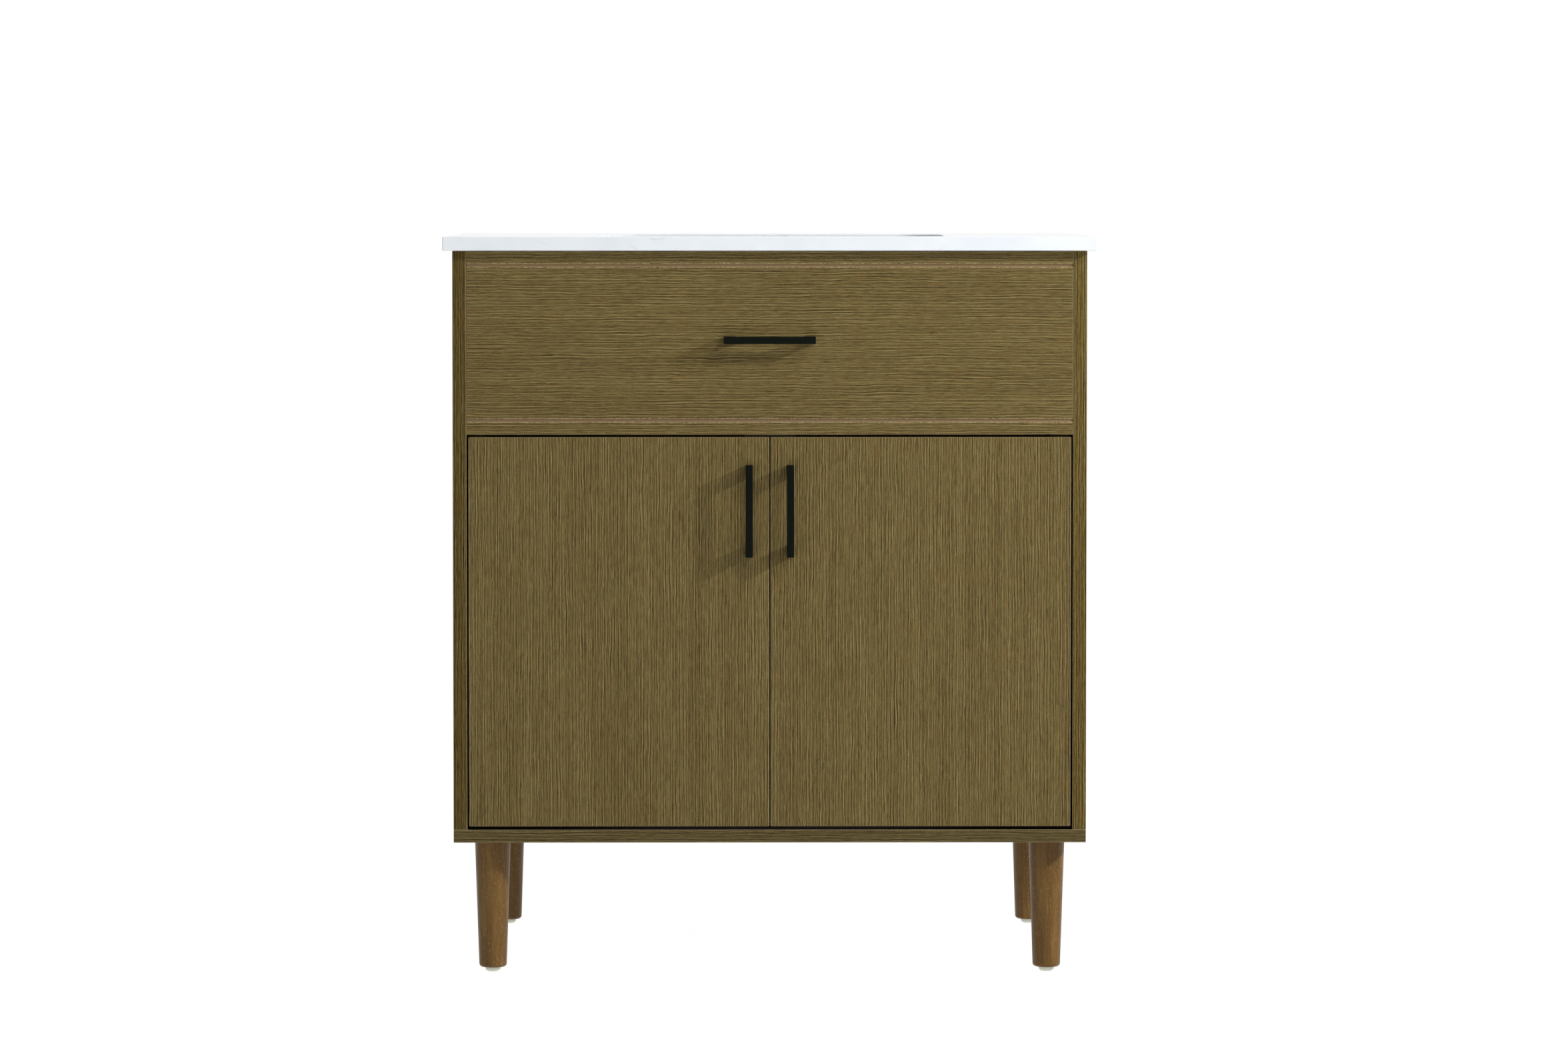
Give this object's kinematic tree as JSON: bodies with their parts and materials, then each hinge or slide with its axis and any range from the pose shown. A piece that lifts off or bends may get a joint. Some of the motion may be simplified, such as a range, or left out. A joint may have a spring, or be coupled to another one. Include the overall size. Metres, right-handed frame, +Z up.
{
  "type": "bathroom vanity cabinet",
  "caption": "Free-standing wood-grain bathroom vanity with a pale stone slab, undermount basin, inset doors, a wide drawer round the basin, black bar pulls and tapered legs.",
  "frame": {"origin": "on the floor, under the middle of the whole object's box", "axes": "+X to the right seen from the front, -Y out of the front, +Z up"},
  "size_m": [0.762, 0.57, 0.865],
  "materials": {
    "quartz": "polished",
    "ceramic": "gloss",
    "wood_laminate": "satin",
    "leg_wood": "satin",
    "box_wood": "satin",
    "black_metal": "matte",
    "zinc_steel": "satin",
    "nylon": "satin",
    "catch_plastic": "matte"
  },
  "bodies": {
    "cabinet": {"countertop": "quartz", "sink": "ceramic", "sink_clip_left_front": "zinc_steel", "sink_clip_left_rear": "zinc_steel", "sink_clip_right_front": "zinc_steel", "sink_clip_right_rear": "zinc_steel", "side_panel_left": "wood_laminate", "side_panel_right": "wood_laminate", "bottom_panel": "wood_laminate", "back_panel": "wood_laminate", "top_rail": "wood_laminate", "lower_rail": "wood_laminate", "back_stretcher": "box_wood", "corner_block_left": "box_wood", "corner_block_right": "box_wood", "leg_front_left": "leg_wood", "leg_front_right": "leg_wood", "leg_rear_left": "leg_wood", "leg_rear_right": "leg_wood", "glide_front_left": "nylon", "glide_front_right": "nylon", "glide_rear_left": "nylon", "glide_rear_right": "nylon", "hinge_arm_left_lower": "zinc_steel", "hinge_arm_left_upper": "zinc_steel", "hinge_arm_right_lower": "zinc_steel", "hinge_arm_right_upper": "zinc_steel", "hinge_plate_left_lower": "zinc_steel", "hinge_plate_left_upper": "zinc_steel", "hinge_plate_right_lower": "zinc_steel", "hinge_plate_right_upper": "zinc_steel", "magnetic_catch": "catch_plastic", "runner_outer_left": "zinc_steel", "runner_outer_right": "zinc_steel"},
    "left_door": {"door_left": "wood_laminate", "door_pull_left": "black_metal", "strike_plate_left": "zinc_steel", "hinge_cup_left_lower": "zinc_steel", "hinge_cup_left_upper": "zinc_steel"},
    "right_door": {"door_right": "wood_laminate", "door_pull_right": "black_metal", "strike_plate_right": "zinc_steel", "hinge_cup_right_lower": "zinc_steel", "hinge_cup_right_upper": "zinc_steel"},
    "drawer": {"drawer_front": "wood_laminate", "drawer_pull": "black_metal", "drawer_box_front": "box_wood", "drawer_side_left": "box_wood", "drawer_side_right": "box_wood", "notch_front": "box_wood", "notch_side_left": "box_wood", "notch_side_right": "box_wood", "drawer_back_left": "box_wood", "drawer_back_right": "box_wood", "drawer_bottom": "box_wood", "runner_inner_left": "zinc_steel", "runner_inner_right": "zinc_steel"},
    "left_runner": {"runner_middle_left": "zinc_steel"},
    "right_runner": {"runner_middle_right": "zinc_steel"}
  },
  "joints": [
    {"name": "left_door_hinge", "type": "hinge", "parent": "cabinet", "child": "left_door", "pos_m": [-0.32975, -0.2535, 0.4035], "axis": [0, 0, -1], "range_deg": [0, 100]},
    {"name": "right_door_hinge", "type": "hinge", "parent": "cabinet", "child": "right_door", "pos_m": [0.32975, -0.2535, 0.4035], "axis": [0, 0, 1], "range_deg": [0, 100]},
    {"name": "drawer_slide", "type": "slide", "parent": "cabinet", "child": "drawer", "axis": [0, -1, 0], "range_m": [0, 0.35]},
    {"name": "left_runner_slide", "type": "slide", "parent": "cabinet", "child": "left_runner", "axis": [0, -1, 0], "range_m": [0, 0.175]},
    {"name": "right_runner_slide", "type": "slide", "parent": "cabinet", "child": "right_runner", "axis": [0, -1, 0], "range_m": [0, 0.175]}
  ],
  "couplings": [
    {"joint": "left_runner_slide", "follows": "drawer_slide", "ratio": 0.5},
    {"joint": "right_runner_slide", "follows": "drawer_slide", "ratio": 0.5}
  ]
}
